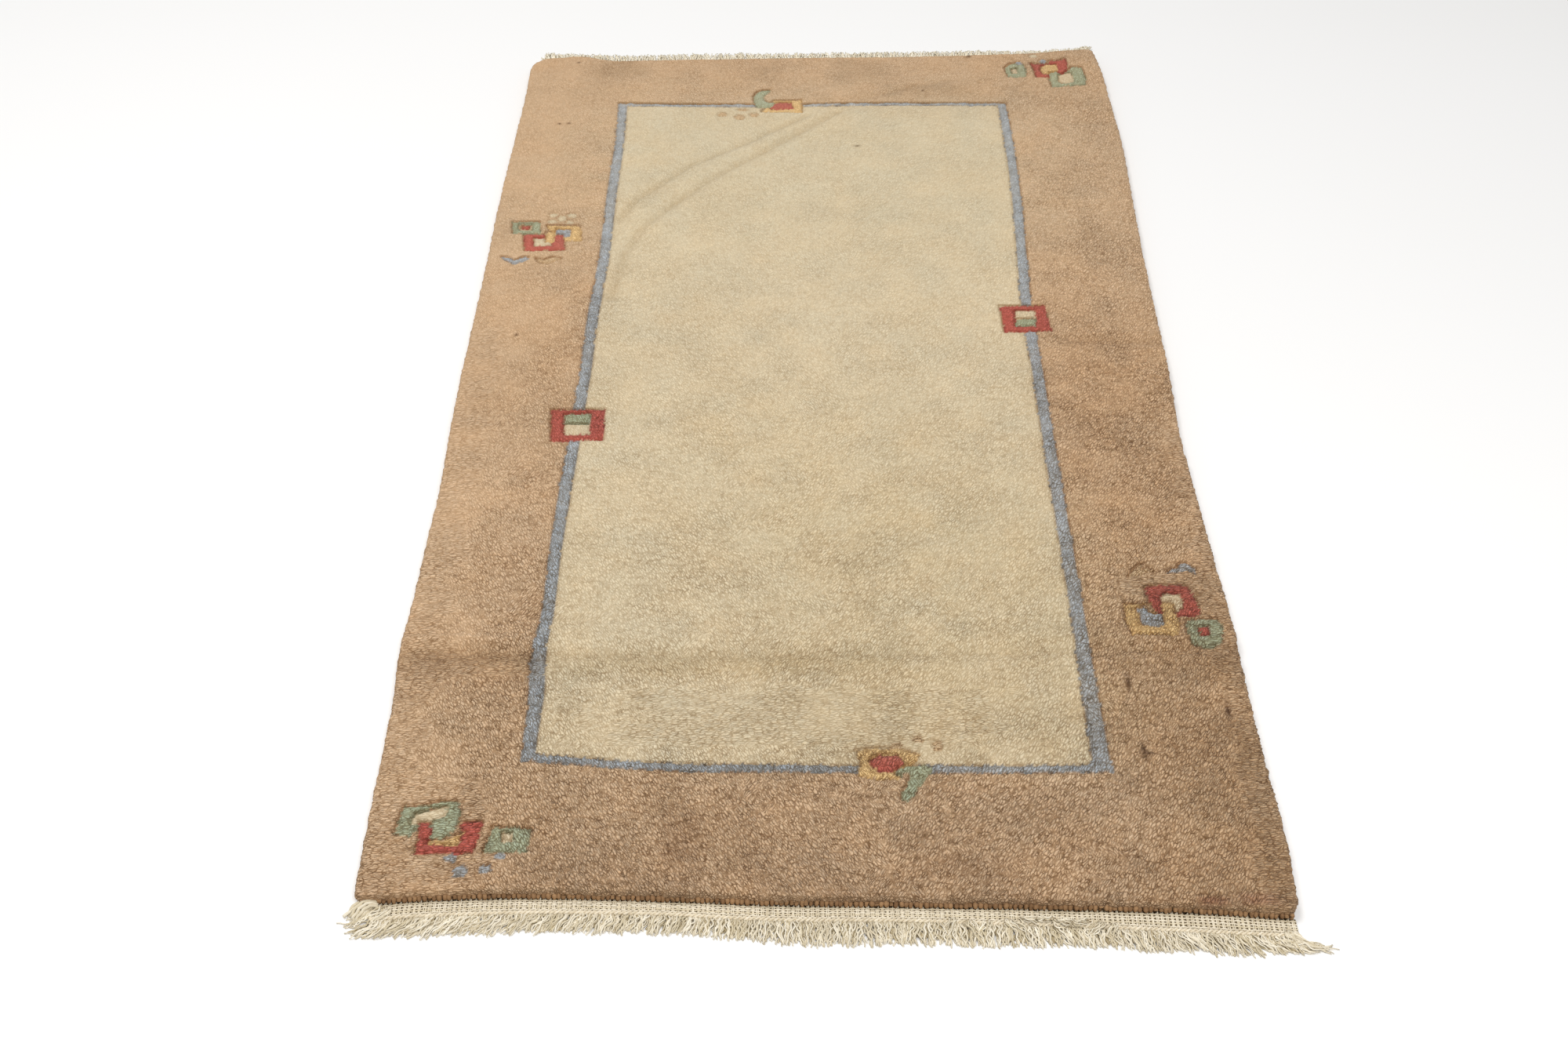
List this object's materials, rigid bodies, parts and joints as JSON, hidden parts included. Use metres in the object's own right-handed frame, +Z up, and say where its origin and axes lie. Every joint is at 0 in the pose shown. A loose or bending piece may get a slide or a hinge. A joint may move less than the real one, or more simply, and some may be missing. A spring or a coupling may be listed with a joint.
{
  "type": "hand-knotted wool rug",
  "caption": "Flat rectangular hand-knotted wool rug with a plain framed field, small carved motifs, flat-woven cotton ends and a short fringe.",
  "frame": {"origin": "on the flat underside of the pile, midway along the rug and midway across it", "axes": "+Y along the rug's length towards the end seen furthest away in the picture, +X across it to the right, +Z up from the floor"},
  "size_m": [0.7263, 1.4851, 0.0178],
  "materials": {
    "wool_pile": "clipped wool pile, mottled tan border, cream field and grey-blue line",
    "cotton_web": "undyed flat-woven cotton",
    "cotton_fringe": "undyed twisted cotton"
  },
  "bodies": {
    "root": {"pile": "wool_pile", "end_web_near": "cotton_web", "end_web_far": "cotton_web", "fringe_near": "cotton_fringe", "fringe_far": "cotton_fringe"}
  },
  "joints": []
}
